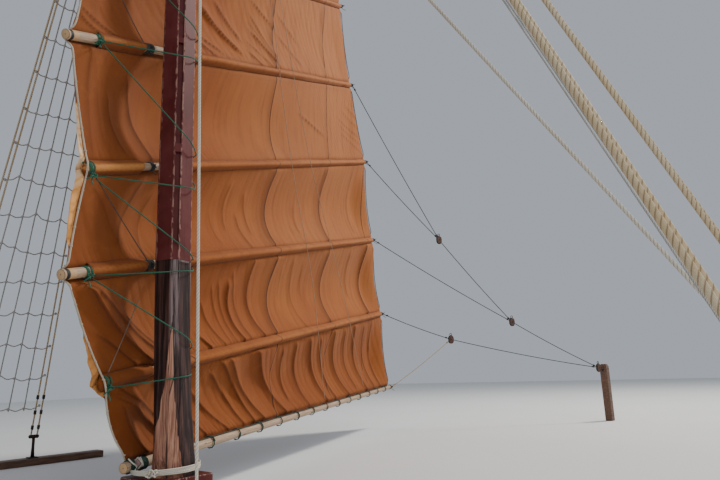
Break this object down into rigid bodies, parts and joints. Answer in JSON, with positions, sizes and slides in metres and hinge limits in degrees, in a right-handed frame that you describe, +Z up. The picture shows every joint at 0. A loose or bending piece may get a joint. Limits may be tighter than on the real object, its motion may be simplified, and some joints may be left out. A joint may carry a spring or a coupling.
{
  "type": "junk mast with battened lugsail",
  "caption": "Wooden junk mast with its battened fan-shaped lugsail, yard, boom, parrels, shrouds, halyard and sheets; the sail swings round the mast.",
  "frame": {"origin": "middle of the mast's foot, at the deck", "axes": "+X aft along the ship, +Y to starboard, the side that the sail is set on, +Z up the mast"},
  "size_m": [12.4578, 11.06, 13.02],
  "materials": {
    "dark_wood": "dark varnish over hewn timber, scraped at the foot",
    "maroon_paint": "worn maroon paint on planks, chipped along the edges",
    "ironwork": "black painted iron, weathered",
    "pale_pole": "peeled pole, weathered",
    "sailcloth": "heavy rust-brown canvas, sewn in cloths",
    "green_rope": "laid green rope",
    "shroud_rope": "laid pale rope",
    "white_rope": "laid white rope",
    "dark_rope": "thin dark line"
  },
  "bodies": {
    "mast": {"mast_lower": "dark_wood", "mast_head": "dark_wood", "port_channel": "dark_wood", "starboard_channel": "dark_wood", "sheet_post": "dark_wood", "mast_box": "maroon_paint", "mast_sheath": "maroon_paint", "mast_cap": "maroon_paint", "sheet_post_eye": "ironwork", "hounds_band": "ironwork", "halyard_lead_block": "ironwork", "halyard_deck_eye": "ironwork", "port_shroud_fore": "shroud_rope", "port_shroud_aft": "shroud_rope", "starboard_shroud_fore": "shroud_rope", "starboard_shroud_aft": "shroud_rope", "port_guy": "white_rope", "halyard_fall": "white_rope"},
    "sail": {"boom": "pale_pole", "batten_1": "pale_pole", "batten_2": "pale_pole", "batten_3": "pale_pole", "batten_4": "pale_pole", "batten_5": "pale_pole", "batten_6": "pale_pole", "yard": "pale_pole", "sail_panel_1": "sailcloth", "sail_panel_2": "sailcloth", "sail_panel_3": "sailcloth", "sail_panel_4": "sailcloth", "sail_panel_5": "sailcloth", "sail_panel_6": "sailcloth", "sail_panel_7": "sailcloth", "parrel_boom": "green_rope", "parrel_batten_1": "green_rope", "parrel_batten_2": "green_rope", "parrel_batten_3": "green_rope", "parrel_batten_4": "green_rope", "parrel_batten_5": "green_rope", "parrel_batten_6": "green_rope", "parrel_yard": "green_rope", "halyard_collar": "ironwork", "halyard_upper_block": "dark_wood", "yard_block": "dark_wood", "halyard_part_1": "white_rope", "halyard_part_2": "white_rope", "yard_sling": "white_rope", "sheet_1": "dark_rope", "sheet_2": "dark_rope", "sheet_3": "dark_rope", "sheet_4": "dark_rope", "sheet_5": "dark_rope", "sheet_6": "dark_rope", "sheet_7": "dark_rope", "sheet_8": "dark_rope", "sheet_block_upper": "dark_wood", "sheet_block_middle": "dark_wood", "sheet_block_lower": "dark_wood", "sheet_block_post": "dark_wood"}
  },
  "joints": [
    {"name": "sail_swing", "type": "hinge", "parent": "mast", "child": "sail", "pos_m": [0, 0, 0], "axis": [0, 0, 1], "range_deg": [-84, 34]}
  ]
}
